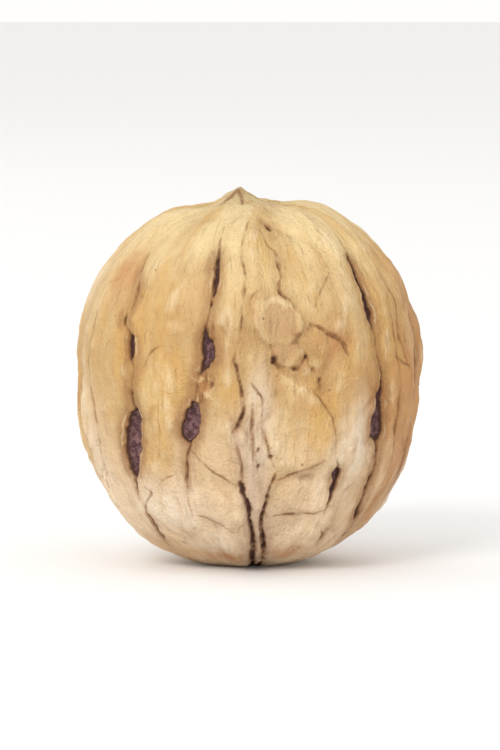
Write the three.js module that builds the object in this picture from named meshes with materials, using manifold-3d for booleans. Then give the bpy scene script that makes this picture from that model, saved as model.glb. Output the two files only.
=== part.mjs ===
// A whole walnut in its shell, standing on the small flat of its stem end.
//
// Millimetres, +Z up. The origin lies under the middle of the nut, on the face that it stands on.
// The two halves of the shell meet in a suture, near the plane X = 0. It runs from the stem end up
// the front (-Y), over the pointed tip and down the back (+Y). The shell's cheeks face -X and +X.
import * as THREE from "three";
import { mergeVertices } from "three/addons/utils/BufferGeometryUtils.js";
import Module from "manifold-3d";

const LENGTH = 41; // stem end to the point of the tip
const WIDTH = 37; // across the cheeks
const DEPTH = 35.9; // across the nut from front to back, without the raised suture bands
const WIDEST_AT = 21.2; // level of the fullest girth
const SHOULDER_FULLNESS = 2.4; // 2 is an ellipse; more gives squarer shoulders
const BASE_FULLNESS = 2.32;
const FOOT_SINK = 0.34; // how far the round base would pass below the face that it stands on

const BAND_RISE = 0.42; // suture band above the cheeks
const BAND_HALF_WIDTH = 2.6;
const TIP_RISE = 1.5; // the beak above the suture band
const TIP_SPREAD_LEFT = 1.9; // from the beak's point to its foot
const TIP_SPREAD_RIGHT = 1.35;
const TIP_SPREAD_THROUGH = 1.9;
const TIP_OFFSET = -0.7; // the beak leans to one side of the middle
const SHOULDERS = [
  { x: 7.4, rise: 0.9, halfWidth: 4.2 }, // the swellings on both sides of the beak
  { x: -7.8, rise: 0.5, halfWidth: 3.4 },
];
const SHOULDER_SWELL = 8; // how far they spread from front to back

const CLEFT_WIDTH = 0.9; // the open slit of the suture at the stem end
const CLEFT_DEPTH = 1.1;
const CLEFT_BOTTOM = 0.5; // level of the lowest of the lenses that cut it
const CLEFT_TOP = 6;
const CLEFT_STEP = 1.3; // from one lens to the next
const CLEFT_LENS = 6; // length of a lens
const SCAR_X = 0.6; // the stem scar lies a little right of the middle
const SCAR_HALF_WIDTH = 0.75;
const SCAR_HALF_LENGTH = 5.4;
const SCAR_DEPTH = 0.8;

const AROUND = 64; // faces round the girth
const RINGS = 38; // faces from tip to base
const CROWD_SUTURE = 0.55; // share by which faces crowd towards the suture
const CROWD_POLE = 0.45; // and towards the tip and the base
const PIT_FACES = 8; // faces round a cutter, and from end to end
const WELD = 1e-5; // points closer than this are made one

const SHELL_COLOUR = 0xddb581;
const SHELL_ROUGHNESS = 0.72;

const degrees = Math.PI / 180;
const shoulderHeight = LENGTH - TIP_RISE - BAND_RISE - WIDEST_AT;
const baseDepth = WIDEST_AT + FOOT_SINK;

function smoothstep(low, high, value) {
  const t = Math.min(1, Math.max(0, (value - low) / (high - low)));
  return t * t * (3 - 2 * t);
}

// Height and fullness of the smooth form above the girth, or below it.
function meridian(dz) {
  return dz > 0 ? [shoulderHeight, SHOULDER_FULLNESS] : [baseDepth, BASE_FULLNESS];
}

// Distance from the middle of the girth to the smooth form, along a unit direction.
function smoothRadius(direction) {
  const [reach, fullness] = meridian(direction.z);
  const girth = Math.hypot(direction.x / (WIDTH / 2), direction.y / (DEPTH / 2));
  return (girth ** fullness + (Math.abs(direction.z) / reach) ** fullness) ** (-1 / fullness);
}

// X of the suture at a height: it wanders a little on the front, and less on the back.
function sutureX(z, onFront) {
  const drift = smoothstep(20, 6, z);
  return onFront ? -0.65 + 1.85 * drift : 0.5 - 0.7 * drift;
}

// Broad ribs that run from base to tip, in three widths: 7, 11 and 17 of them go round the nut.
// They wander a little on their way up, and die away where the direction nears the nut's axis.
function ribs(direction, azimuth, z) {
  const level = z / LENGTH;
  const fade = smoothstep(0.05, 0.75, Math.hypot(direction.x, direction.y));
  const wide = 0.22 * Math.cos(7 * azimuth + 1.4 * Math.sin(2.2 * level + 0.4));
  const middle = 0.16 * Math.cos(11 * azimuth - 2.1 * level + 1.1);
  const narrow = 0.1 * Math.cos(17 * azimuth + 1.6 * Math.sin(4 * level) + 0.6);
  return fade * (wide + middle + narrow);
}

// Raised band along the suture. It sinks level with the shell towards the stem end.
function sutureBand(point) {
  const across = (point.x - sutureX(point.z, point.y < 0)) / BAND_HALF_WIDTH;
  return BAND_RISE * Math.exp(-(across ** 4)) * smoothstep(-1, 16, point.z);
}

// Small pointed beak at the top, longer from front to back than it is wide.
function beak(point) {
  if (point.z < WIDEST_AT) return 0;
  const spread = point.x < TIP_OFFSET ? TIP_SPREAD_LEFT : TIP_SPREAD_RIGHT;
  const foot = Math.hypot((point.x - TIP_OFFSET) / spread, point.y / TIP_SPREAD_THROUGH);
  return TIP_RISE * Math.exp(-(foot ** 1.5));
}

// One of the full shoulders on both sides of the beak.
function shoulder(point, { x, rise, halfWidth }) {
  if (point.z < WIDEST_AT) return 0;
  return rise * Math.exp(-(((point.x - x) / halfWidth) ** 2) - (point.y / SHOULDER_SWELL) ** 2);
}

// The points and faces of a form alone, with the points that fall together made one.
function closed(form) {
  form.deleteAttribute("normal");
  form.deleteAttribute("uv");
  return mergeVertices(form, WELD);
}

// The closed skin of the nut: a ball of faces that crowd towards the suture, the tip and the base.
function shellSkin() {
  const skin = closed(new THREE.SphereGeometry(1, AROUND, RINGS));
  const place = skin.getAttribute("position");
  const direction = new THREE.Vector3();
  for (let i = 0; i < place.count; i++) {
    const turn = Math.atan2(place.getX(i), place.getZ(i));
    const polar = Math.acos(THREE.MathUtils.clamp(place.getY(i), -1, 1));
    const azimuth = turn - (CROWD_SUTURE / 2) * Math.sin(2 * turn);
    const fall = polar - (CROWD_POLE / 2) * Math.sin(2 * polar);
    const flat = Math.sin(fall);
    direction.set(flat * Math.sin(azimuth), -flat * Math.cos(azimuth), Math.cos(fall));
    const radius = smoothRadius(direction);
    const point = direction.clone().multiplyScalar(radius);
    point.z += WIDEST_AT;
    const shoulders = SHOULDERS.reduce((sum, swelling) => sum + shoulder(point, swelling), 0);
    const grown = ribs(direction, azimuth, point.z) + sutureBand(point) + beak(point);
    point.addScaledVector(direction, grown + shoulders);
    place.setXYZ(i, point.x, point.y, point.z);
  }
  return skin;
}

// Point on the smooth form, and its outward normal, at an azimuth from the front and a height.
function shellPlace(azimuth, z) {
  const dz = z - WIDEST_AT;
  const [reach, fullness] = meridian(dz);
  const rise = Math.abs(dz) / reach;
  const girth = (1 - rise ** fullness) ** (1 / fullness);
  const halfWidth = WIDTH / 2;
  const halfDepth = DEPTH / 2;
  const point = new THREE.Vector3(
    halfWidth * girth * Math.sin(azimuth),
    -halfDepth * girth * Math.cos(azimuth),
    z,
  );
  const steep = girth ** (fullness - 2);
  const normal = new THREE.Vector3(
    (steep * point.x) / halfWidth ** 2,
    (steep * point.y) / halfDepth ** 2,
    (Math.sign(dz) * rise ** (fullness - 1)) / reach,
  ).normalize();
  return { point, normal };
}

// A lens-shaped cutter sunk in the shell: long up the nut, narrow across it, leaning to its right.
function pitCutter(azimuth, z, length, width, lean, depth) {
  const { point, normal } = shellPlace(azimuth, z);
  const across = new THREE.Vector3(0, 0, 1).cross(normal).normalize();
  const along = normal.clone().cross(across);
  const lens = new THREE.SphereGeometry(1, PIT_FACES, PIT_FACES);
  lens.rotateX(Math.PI / 2);
  lens.scale(width / 2, length / 2, depth);
  lens.rotateZ(-lean);
  lens.applyMatrix4(new THREE.Matrix4().makeBasis(across, along, normal));
  lens.translate(point.x, point.y, point.z);
  return closed(lens);
}

const wasm = await Module();
wasm.setup();

function solidOf(geometry) {
  return new wasm.Manifold(
    new wasm.Mesh({
      numProp: 3,
      vertProperties: new Float32Array(geometry.getAttribute("position").array),
      triVerts: new Uint32Array(geometry.getIndex().array),
    }),
  );
}

function geometryOf(solid) {
  const mesh = solid.getMesh();
  const geometry = new THREE.BufferGeometry();
  geometry.setAttribute("position", new THREE.BufferAttribute(mesh.vertProperties, 3));
  geometry.setIndex(new THREE.BufferAttribute(mesh.triVerts, 1));
  return geometry;
}

// Open slots in the shell, where its veins ran. Azimuth and lean in degrees, lengths in mm.
const slots = [
  { azimuth: -12.4, z: 32.4, length: 5, width: 0.8, lean: 2 },
  { azimuth: -13.6, z: 24.7, length: 4.2, width: 1.5, lean: -4 },
  { azimuth: -19.8, z: 16.8, length: 4.6, width: 2.3, lean: 4 },
  { azimuth: -44.3, z: 14.2, length: 7.4, width: 2.6, lean: -2 },
  { azimuth: -43.6, z: 24.4, length: 2.9, width: 0.95, lean: 2 },
  { azimuth: 49, z: 30.2, length: 7.2, width: 1.1, lean: -4 },
  { azimuth: 51.5, z: 16.5, length: 5.4, width: 2.1, lean: 3 },
  { azimuth: 33.5, z: 10.6, length: 4.2, width: 1, lean: 2 },
  { azimuth: 84, z: 22.5, length: 6.2, width: 1.2, lean: -4 },
  { azimuth: 108, z: 13.5, length: 5.4, width: 1.9, lean: 5 },
  { azimuth: 132, z: 26, length: 5.8, width: 1.1, lean: 3 },
  { azimuth: 150, z: 15, length: 4.6, width: 2, lean: -5 },
  { azimuth: -160, z: 22.8, length: 5.2, width: 1.2, lean: 4 },
  { azimuth: -138, z: 13.4, length: 6, width: 2.1, lean: -4 },
  { azimuth: -112, z: 25.6, length: 6.6, width: 1, lean: -5 },
  { azimuth: -84, z: 14.6, length: 5.2, width: 1.7, lean: 4 },
];
const SLOT_DEPTH = 1.2;

function slotCutters() {
  return slots.map((slot) =>
    pitCutter(
      slot.azimuth * degrees, slot.z, slot.length, slot.width, slot.lean * degrees, SLOT_DEPTH,
    ),
  );
}

// The suture gapes at the stem end: overlapping lenses follow it up the front and the back.
function cleftCutters() {
  const cutters = [];
  for (const onFront of [true, false]) {
    for (let z = CLEFT_BOTTOM; z < CLEFT_TOP; z += CLEFT_STEP) {
      const { point } = shellPlace(0, z);
      const side = Math.asin(sutureX(z, onFront) / -point.y);
      const azimuth = onFront ? side : Math.PI - side;
      cutters.push(pitCutter(azimuth, z, CLEFT_LENS, CLEFT_WIDTH, 0, CLEFT_DEPTH));
    }
  }
  return cutters;
}

// Oval scar in the middle of the base, where the stem was joined.
function stemScarCutter() {
  const scar = new THREE.SphereGeometry(1, PIT_FACES, PIT_FACES);
  scar.scale(SCAR_HALF_WIDTH, SCAR_HALF_LENGTH, SCAR_DEPTH);
  scar.translate(SCAR_X, 0, 0);
  return closed(scar);
}

// Everything of the round base that would pass below the face that the nut stands on.
function footCutter() {
  const block = new THREE.BoxGeometry(2 * WIDTH, 2 * WIDTH, WIDTH);
  block.translate(0, 0, -WIDTH / 2);
  return closed(block);
}

function walnutGeometry() {
  const cutters = [...slotCutters(), ...cleftCutters(), stemScarCutter(), footCutter()];
  let solid = solidOf(shellSkin());
  for (const cutter of cutters) {
    solid = solid.subtract(solidOf(cutter));
  }
  return geometryOf(solid);
}

const walnut = new THREE.Mesh(
  walnutGeometry(),
  new THREE.MeshStandardMaterial({
    color: SHELL_COLOUR,
    roughness: SHELL_ROUGHNESS,
    metalness: 0,
  }),
);
walnut.name = "walnut";

// Centre the nut's box over the origin.
walnut.geometry.computeBoundingBox();
const middle = walnut.geometry.boundingBox.getCenter(new THREE.Vector3());
walnut.position.set(-middle.x, -middle.y, 0);

const part = new THREE.Group();
part.add(walnut);

export default part;
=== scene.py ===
import itertools
import math

import bmesh
import bpy
import numpy as np
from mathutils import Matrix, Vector


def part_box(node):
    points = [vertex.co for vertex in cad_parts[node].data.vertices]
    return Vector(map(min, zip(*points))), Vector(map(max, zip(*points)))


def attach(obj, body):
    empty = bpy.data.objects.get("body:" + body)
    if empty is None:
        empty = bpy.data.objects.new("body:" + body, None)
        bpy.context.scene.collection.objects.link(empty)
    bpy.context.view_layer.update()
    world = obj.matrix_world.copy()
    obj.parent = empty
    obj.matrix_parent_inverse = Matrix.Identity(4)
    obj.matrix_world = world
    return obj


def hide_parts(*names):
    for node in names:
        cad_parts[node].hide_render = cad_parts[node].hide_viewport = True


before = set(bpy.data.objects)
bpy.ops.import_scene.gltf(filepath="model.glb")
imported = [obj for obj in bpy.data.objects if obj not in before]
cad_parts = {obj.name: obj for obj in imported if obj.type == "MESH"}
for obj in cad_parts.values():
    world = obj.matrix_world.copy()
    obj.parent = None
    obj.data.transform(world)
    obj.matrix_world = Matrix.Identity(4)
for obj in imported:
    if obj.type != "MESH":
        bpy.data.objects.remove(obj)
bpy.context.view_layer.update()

# ---------------------------------------------------------------------------------------------
# The shell's form, in millimetres. A walnut's shell is two woody halves that grew together, so the
# outside is one closed skin: a ball a little taller than wide, with full shoulders, a narrower stem
# end, a raised band along the suture and a short beak.
# ---------------------------------------------------------------------------------------------

MM = 0.001
low, high = (np.array(corner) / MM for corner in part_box("walnut"))
WIDTH, THROUGH, LENGTH = (high - low).tolist()
BAND_RISE = 0.42  # suture band above the cheeks
TIP_RISE = 1.5  # the beak above the suture band
DEPTH = THROUGH - 2 * BAND_RISE
WIDEST_AT = 0.517 * LENGTH
SHOULDER_FULLNESS = 2.4  # 2 is an ellipse; more gives squarer shoulders
BASE_FULLNESS = 2.32
FOOT_SINK = 0.34  # how far the round base would pass below the face that it stands on
SHOULDER_HEIGHT = LENGTH - TIP_RISE - BAND_RISE - WIDEST_AT
BASE_DEPTH = WIDEST_AT + FOOT_SINK
SQUARES = 100  # along the edge of each of the six patches that the skin is blown up from


def unit(vectors):
    return vectors / np.linalg.norm(vectors, axis=-1, keepdims=True)


def patched_ball(squares):
    """Unit directions and square faces of a cube blown up into a ball."""
    steps = np.arange(squares + 1)
    across, along = np.meshgrid(steps, steps, indexing="ij")
    patches = []
    for axis, end in itertools.product(range(3), (0, squares)):
        patch = np.empty((squares + 1, squares + 1, 3), int)
        patch[..., axis] = end
        patch[..., (axis + 1) % 3] = across if end else along
        patch[..., (axis + 2) % 3] = along if end else across
        patches.append(patch.reshape(-1, 3))
    corners, index = np.unique(np.concatenate(patches), axis=0, return_inverse=True)
    index = index.reshape(6, squares + 1, squares + 1)
    loops = [index[:, :-1, :-1], index[:, 1:, :-1], index[:, 1:, 1:], index[:, :-1, 1:]]
    cube = np.tan((2 * corners / squares - 1) * math.pi / 4)
    return unit(cube), np.stack(loops, axis=-1).reshape(-1, 4)


def meridian(dz):
    """Height and fullness of the smooth form above or below the girth."""
    above = np.asarray(dz) > 0
    return (
        np.where(above, SHOULDER_HEIGHT, BASE_DEPTH),
        np.where(above, SHOULDER_FULLNESS, BASE_FULLNESS),
    )


def smooth_form(directions):
    """Points of the smooth form along unit directions from the middle of the girth."""
    tall, full = meridian(directions[:, 2])
    girth = np.hypot(directions[:, 0] / (WIDTH / 2), directions[:, 1] / (DEPTH / 2))
    radius = (girth**full + (np.abs(directions[:, 2]) / tall) ** full) ** (-1 / full)
    return directions * radius[:, None] + [0, 0, WIDEST_AT]


directions, squares = patched_ball(SQUARES)
skin = smooth_form(directions)

# ---------------------------------------------------------------------------------------------
# Veins and their slots. Where the husk's veins lay on the shell they left lengthwise grooves, and
# in places the wood never closed over them, so the groove opens into a slot with a dark floor.
# Each line is a chain of (azimuth in degrees, level, width) from the tip's side to the stem's.
# ---------------------------------------------------------------------------------------------

SLOT_DEPTH = 1.25
LINE_DEPTH, DEPTH_BY_WIDTH = 0.1, 1.8  # a narrow line is this deep, and so much for each half width
SLOT_WALL = 0.35  # from the slot's edge to the foot of its wall
SLOT_LIP = 0.12  # rounding outside the edge
VALLEY_DEPTH = 0.3  # the shell dips towards a vein
VALLEY_SPREAD = 1.5
HALO_SPREAD = 0.6  # of the stain beside a slot
HALO_FROM = 0.4  # half width from which a line has its full stain
RAGGED_FROM = 0.5  # half width from which its edge is fully ragged
LEAST_HALF_WIDTH = 0.04
LINE_REACH = 4.0  # a line changes nothing further off than this
VALLEY_FADE = 5.0  # over which a line's valley dies away at its ends
TIP_FADE = 1.5  # and its cut
SHORTEST_FADING = 1.0  # a pit is shorter than this, and keeps its depth to its ends
LINE_STEPS = 6  # straight steps between two points of a line

veins = [
    # front, left of the suture
    [(-13.4, 37.0, 0.08), (-13.2, 36.1, 0.1), (-12.8, 35.2, 0.2), (-12.3, 34.2, 0.5),
     (-12.2, 33.2, 0.65), (-12.0, 31.6, 0.7), (-12.7, 30.2, 0.5), (-13.1, 29.1, 0.3),
     (-13.7, 28.0, 0.16), (-14.4, 27.2, 0.3), (-14.3, 26.4, 0.8), (-13.3, 25.0, 1.45),
     (-13.0, 23.7, 1.3), (-14.8, 22.7, 0.6), (-16.4, 21.7, 0.3), (-17.3, 20.5, 0.25),
     (-18.2, 19.5, 0.4), (-19.0, 18.7, 1.2), (-19.6, 17.1, 2.2), (-20.2, 15.9, 2.2),
     (-20.8, 15.1, 1.4), (-20.3, 14.2, 0.4), (-22.1, 13.0, 0.26), (-22.7, 11.6, 0.3),
     (-23.1, 9.4, 0.26), (-23.6, 7.2, 0.22), (-23.7, 6.3, 0.1)],
    [(-50.8, 35.3, 0.08), (-49.4, 34.3, 0.12), (-48.5, 33.2, 0.16), (-46.3, 31.7, 0.2),
     (-45.0, 30.4, 0.35), (-45.4, 29.1, 0.3), (-46.8, 28.1, 0.2), (-47.7, 27.4, 0.6),
     (-46.7, 26.7, 0.2), (-44.2, 26.0, 0.25), (-43.6, 25.4, 0.8), (-43.3, 24.4, 0.9),
     (-43.9, 23.3, 0.5), (-42.3, 22.2, 0.12), (-43.5, 20.9, 0.16), (-44.1, 19.9, 0.4),
     (-43.5, 18.7, 0.5), (-42.5, 17.6, 0.9), (-43.1, 16.5, 2.2), (-43.9, 14.7, 2.6),
     (-44.9, 13.0, 2.4), (-45.6, 11.5, 1.6), (-46.1, 10.5, 0.6), (-46.5, 9.2, 0.3),
     (-47.0, 8.0, 0.1)],
    # front, right of the suture
    [(51.4, 36.4, 0.08), (50.4, 35.0, 0.2), (49.4, 33.7, 0.7), (48.8, 32.1, 0.9), (48.8, 30.5, 1.0),
     (48.9, 29.1, 1.2), (49.4, 27.7, 0.95), (49.5, 26.6, 0.4), (50.0, 25.8, 0.16), (50.3, 24.5, 0.16),
     (53.2, 21.8, 0.4), (52.7, 20.2, 0.6), (52.1, 18.7, 1.0), (51.5, 17.3, 1.5), (51.2, 16.2, 2.1),
     (51.2, 15.1, 1.9), (51.2, 14.2, 0.6), (52.1, 13.2, 0.4), (53.1, 11.7, 0.45), (52.7, 9.7, 0.5),
     (54.3, 7.9, 0.5), (55.1, 6.7, 0.7), (58.6, 5.2, 0.6), (61.0, 4.0, 0.5), (67.4, 2.5, 0.4),
     (74.0, 1.8, 0.1)],
    [(31.3, 14.7, 0.08), (32.0, 12.9, 0.16), (33.1, 12.1, 0.5), (33.4, 11.2, 1.0), (33.7, 10.0, 0.8),
     (33.6, 8.8, 0.5), (33.1, 7.8, 0.2), (32.8, 6.8, 0.1)],
    # right cheek
    [(82, 31.0, 0.1), (83, 27.2, 0.15), (84.4, 25.5, 0.5), (84.6, 23.2, 1.2), (83.7, 20.8, 0.9),
     (83, 19.4, 0.3), (82, 16.5, 0.12), (83.5, 12.0, 0.15), (86, 8.0, 0.25), (84, 4.6, 0.1)],
    [(113, 26.0, 0.1), (111, 20.0, 0.14), (110, 16.4, 0.3), (109, 14.9, 1.5), (108, 13.2, 2.0),
     (106.6, 11.7, 1.3), (106, 10.7, 0.3), (104, 7.5, 0.15), (106, 4.0, 0.25)],
    # back
    [(129.5, 35.0, 0.12), (131, 30.7, 0.2), (132.8, 28.8, 0.5), (132.6, 26.6, 1.1),
     (131.6, 24.2, 0.8), (131, 22.8, 0.25), (128, 18.0, 0.12), (129.5, 12.0, 0.14), (127, 6.5, 0.2)],
    [(145, 25.0, 0.1), (146.5, 18.4, 0.2), (148.3, 16.9, 1.4), (150, 15.0, 2.1), (151.4, 13.4, 1.4),
     (152.2, 12.5, 0.3), (155, 8.0, 0.15), (153, 3.6, 0.25)],
    [(-157, 34.0, 0.12), (-158, 28.4, 0.14), (-159, 25.6, 0.3), (-159.6, 24.2, 1.0),
     (-160.3, 22.5, 1.3), (-161, 20.7, 0.6), (-161.8, 17.4, 0.12), (-160, 11.0, 0.15),
     (-162, 5.5, 0.25)],
    [(-144, 24.0, 0.1), (-141, 17.8, 0.2), (-139.3, 16.0, 1.3), (-137.9, 13.6, 2.2),
     (-137, 11.4, 1.5), (-136.5, 10.2, 0.3), (-139, 6.0, 0.15), (-137, 3.0, 0.2)],
    # left cheek
    [(-109.5, 34.0, 0.1), (-111, 29.4, 0.3), (-112.4, 27.2, 0.9), (-112.4, 25.0, 1.1),
     (-111.2, 23.0, 0.6), (-110, 21.4, 0.12), (-107, 15.0, 0.12), (-109, 9.0, 0.2),
     (-106, 4.6, 0.12)],
    [(-79, 29.0, 0.1), (-81.6, 20.0, 0.15), (-82.8, 17.4, 0.5), (-83.8, 15.6, 1.6),
     (-84.5, 13.9, 1.7), (-85.2, 12.2, 0.4), (-88, 8.0, 0.15), (-85, 3.6, 0.25)],
]

# The suture's own line, and the furrows beside the strip that it splits into near the stem end.
suture_lines = [
    [(1.2, 37.3, 0.08), (-1.3, 34.9, 0.16), (-0.2, 32.3, 0.26), (-0.4, 30.2, 0.24), (-1.4, 27.6, 0.22),
     (-4.5, 23.7, 0.26), (-3.8, 22.9, 0.34), (-2.1, 20.7, 0.38), (-1.4, 18.6, 0.4), (-2.1, 17.2, 0.42),
     (-3.9, 16.2, 0.3), (-4.6, 15.7, 0.1)],
    [(-3.4, 15.2, 0.12), (-2.8, 14.0, 0.3), (-1.7, 12.9, 0.3), (-1.3, 11.4, 0.36), (-1.3, 10.2, 0.72),
     (-0.4, 8.8, 0.5), (1.4, 7.3, 0.55), (2.3, 5.5, 0.6), (2.8, 3.1, 0.66), (3.2, 1.7, 0.72),
     (4.2, 0.3, 0.76), (5.0, -0.2, 0.8)],
    [(9.7, 11.5, 0.12), (9.6, 10.7, 0.36), (8.4, 9.5, 0.42), (7.6, 8.2, 0.45), (7.5, 6.8, 0.42),
     (6.9, 5.5, 0.44), (7.4, 4.1, 0.5), (8.9, 2.7, 0.58), (10.9, 1.5, 0.66), (12, 0.3, 0.72),
     (14, -0.2, 0.8)],
    [(1.1, 21.3, 0.1), (3.5, 20.3, 0.4), (5.1, 19.3, 0.2), (5.1, 17.2, 0.14), (6.1, 15.5, 0.2),
     (7.5, 13.7, 0.16), (9.2, 12.2, 0.1)],
    [(184, 38.9, 0.12), (181, 34.0, 0.14), (177.4, 29.0, 0.16), (179.4, 24.0, 0.2),
     (178, 19.0, 0.22), (179.6, 14.0, 0.28), (180.6, 9.0, 0.4), (182, 5.0, 0.6), (183, 2.0, 0.8),
     (184, 0.1, 0.9)],
    [(172, 12.0, 0.1), (174, 8.5, 0.25), (175.6, 5.0, 0.35), (177.5, 2.2, 0.4)],
]

# Fine cracks between the veins, and the furrow along the right edge of the suture band.
cracks = [
    [(-11.9, 27.7, 0.1), (-11.6, 27.0, 0.35), (-11.9, 25.9, 0.4)],
    [(-13.9, 22.5, 0.25), (-13.7, 21.7, 0.4), (-14.8, 20.4, 0.14), (-15.5, 19.5, 0.5),
     (-16.7, 19, 0.3)],
    [(-42.0, 9.7, 0.1), (-39.9, 8.9, 0.3), (-42.2, 8.2, 0.12), (-46.2, 6.9, 0.25), (-46.7, 5.8, 0.6),
     (-47.7, 4.5, 0.45), (-48.4, 3.7, 0.6), (-50.4, 2.8, 0.4), (-52.3, 2.0, 0.2)],
    [(-20.2, 13.6, 0.14), (-14.8, 12.2, 0.24), (-9.3, 11.3, 0.22), (-2.3, 10.3, 0.14)],
    [(-21.9, 6.6, 0.1), (-15.8, 5.9, 0.24), (-10, 5.5, 0.2), (-5.7, 5.2, 0.1)],
    [(-41.2, 19.1, 0.08), (-36.9, 17.9, 0.2), (-33.4, 16.5, 0.1)],
    [(-36.0, 9.6, 0.1), (-30.4, 10.5, 0.22), (-27.5, 10.8, 0.08)],
    [(-38, 22.6, 0.08), (-33.5, 24.2, 0.2), (-29, 24.8, 0.12), (-25.5, 23.6, 0.08)],
    [(12.2, 6.5, 0.2), (16.9, 6.5, 0.4), (22.1, 6.6, 0.5), (27.1, 6.8, 0.4), (31.6, 7.2, 0.2)],
    [(10.9, 10.4, 0.2), (14.2, 10.8, 0.4), (18.8, 11.6, 0.34), (23.1, 12.1, 0.42), (26.9, 12.8, 0.2)],
    [(37.0, 9.6, 0.1), (40.3, 9.4, 0.26), (43.5, 10.0, 0.1)],
    [(34.9, 4.9, 0.12), (38.5, 4.3, 0.55), (40.7, 3.4, 0.4), (43.7, 2.6, 0.12)],
    [(21.6, 20.6, 0.1), (26.0, 19.0, 0.24), (28.0, 18.0, 0.2), (29.7, 16.7, 0.16), (31.3, 14.7, 0.1)],
    [(7.4, 36.8, 0.08), (9.4, 35.6, 0.16), (12.8, 35.0, 0.34), (13.4, 34.0, 0.45), (13.4, 32.7, 0.2),
     (12.2, 31.7, 0.28), (13.0, 30.8, 0.45), (16.1, 30.0, 0.2), (17.1, 29.1, 0.1)],
    [(21.0, 26.6, 0.4), (22.7, 27.0, 0.34), (27.5, 26.3, 0.36), (32.9, 25.0, 0.4), (35.1, 23.7, 0.24),
     (34.7, 22.7, 0.1)],
    [(15.3, 25.8, 0.2), (16.8, 26.0, 0.5), (18.5, 26.1, 0.2)],
    [(8.4, 25.0, 0.1), (9.2, 23.8, 0.4), (11.4, 22.7, 0.2), (13.8, 23.1, 0.1), (16.2, 22.5, 0.34),
     (18.4, 23.1, 0.14), (19.9, 23.9, 0.36), (21.4, 22.8, 0.16), (23.2, 22.5, 0.4), (24.3, 21.5, 0.14),
     (25.6, 21.2, 0.36), (26.3, 20.0, 0.1)],
    [(1.6, 28.6, 0.1), (1.9, 29.4, 0.3), (3.2, 30.2, 0.34), (5.6, 30.8, 0.24), (8.0, 31.0, 0.08)],
    [(1.6, 19.4, 0.1), (1.9, 17.5, 0.34), (2.1, 15.5, 0.34), (2.4, 13.2, 0.1)],
    [(34.0, 32.5, 0.08), (28.6, 30.7, 0.16), (24.6, 28.9, 0.08)],
    [(62, 30.0, 0.1), (60.5, 26.0, 0.3), (63, 21.5, 0.24), (61.5, 16.0, 0.3), (66, 10.0, 0.1)],
    [(64, 33.0, 0.1), (67, 29.5, 0.26), (65.5, 26.0, 0.3), (69, 23.0, 0.2), (68, 20.0, 0.1)],
    [(60.5, 24.0, 0.1), (65, 22.6, 0.26), (70, 22.0, 0.22), (75, 20.4, 0.1)],
    [(-62, 28.0, 0.1), (-64, 22.0, 0.16), (-61, 15.0, 0.16), (-65, 9.0, 0.1)],
    [(84.5, 21.0, 0.12), (92, 19.4, 0.18), (100, 18.6, 0.1)],
    [(109, 12.0, 0.14), (117, 10.2, 0.2), (127, 9.6, 0.12)],
    [(133, 22.4, 0.12), (140, 20.6, 0.18), (146, 20.2, 0.1)],
    [(160, 27.0, 0.1), (165, 24.0, 0.2), (164, 19.0, 0.14), (168, 13.0, 0.1)],
    [(-168, 16.0, 0.1), (-164, 12.6, 0.2), (-158, 11.4, 0.12)],
    [(-137, 10.4, 0.14), (-128, 8.6, 0.2), (-118, 8.2, 0.12)],
    [(-127, 31.0, 0.1), (-129, 26.0, 0.18), (-126, 20.0, 0.14), (-128, 15.0, 0.1)],
    [(-110, 21.6, 0.12), (-100, 19.6, 0.2), (-92, 20.0, 0.1)],
    [(-84.5, 12.6, 0.12), (-75, 10.6, 0.18), (-67, 10.2, 0.1)],
    [(70, 14.0, 0.1), (76, 12.8, 0.24), (84, 12.4, 0.2), (90, 13.2, 0.1)],
    [(92, 31.0, 0.1), (95, 28.0, 0.26), (93, 25.0, 0.3), (97, 22.0, 0.2), (96, 19.0, 0.1)],
    [(118, 32.0, 0.1), (121, 29.0, 0.24), (119, 25.6, 0.3), (123, 22.0, 0.2), (121, 17.5, 0.1)],
    [(119, 25.6, 0.1), (126, 24.4, 0.24), (131, 24.8, 0.1)],
    [(152, 33.0, 0.1), (150, 29.4, 0.24), (153, 26.0, 0.3), (150.5, 22.6, 0.1)],
    [(-176, 22.0, 0.1), (-171, 19.0, 0.26), (-173, 15.0, 0.24), (-170, 11.0, 0.1)],
    [(-152, 31.0, 0.1), (-149, 27.6, 0.26), (-151, 24.0, 0.3), (-147, 20.6, 0.1)],
    [(-121, 12.4, 0.1), (-116, 10.8, 0.26), (-110.5, 10.4, 0.1)],
    [(-99, 29.0, 0.1), (-97, 25.4, 0.26), (-100, 22.0, 0.24), (-96.5, 18.4, 0.1)],
    [(-73, 33.0, 0.1), (-71, 29.6, 0.24), (-74, 26.4, 0.3), (-71.5, 24.2, 0.1)],
]

# Small ragged pits: (azimuth, level, width, height).
pits = [
    (9.5, 23.7, 0.6, 0.9), (19.8, 23.8, 0.45, 0.5), (22.8, 22.5, 0.6, 0.6), (25.4, 21.3, 0.4, 0.7),
    (16.1, 22.6, 0.5, 0.4), (8.0, 13.4, 0.4, 0.4), (4.0, 12.5, 0.3, 0.5), (3.8, 14.3, 0.3, 0.5),
    (13.4, 37.2, 0.6, 0.8), (-11.9, 20.9, 0.5, 0.6), (70, 25.0, 0.4, 0.7), (97, 28.0, 0.5, 0.6),
    (121, 19.0, 0.4, 0.7), (142, 30.0, 0.35, 0.5), (-148, 28.0, 0.4, 0.6), (-121, 14.0, 0.5, 0.8),
    (-98, 9.0, 0.4, 0.5), (-72, 22.0, 0.35, 0.5), (166, 9.0, 0.4, 0.5), (-171, 26.0, 0.4, 0.4),
]

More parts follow.
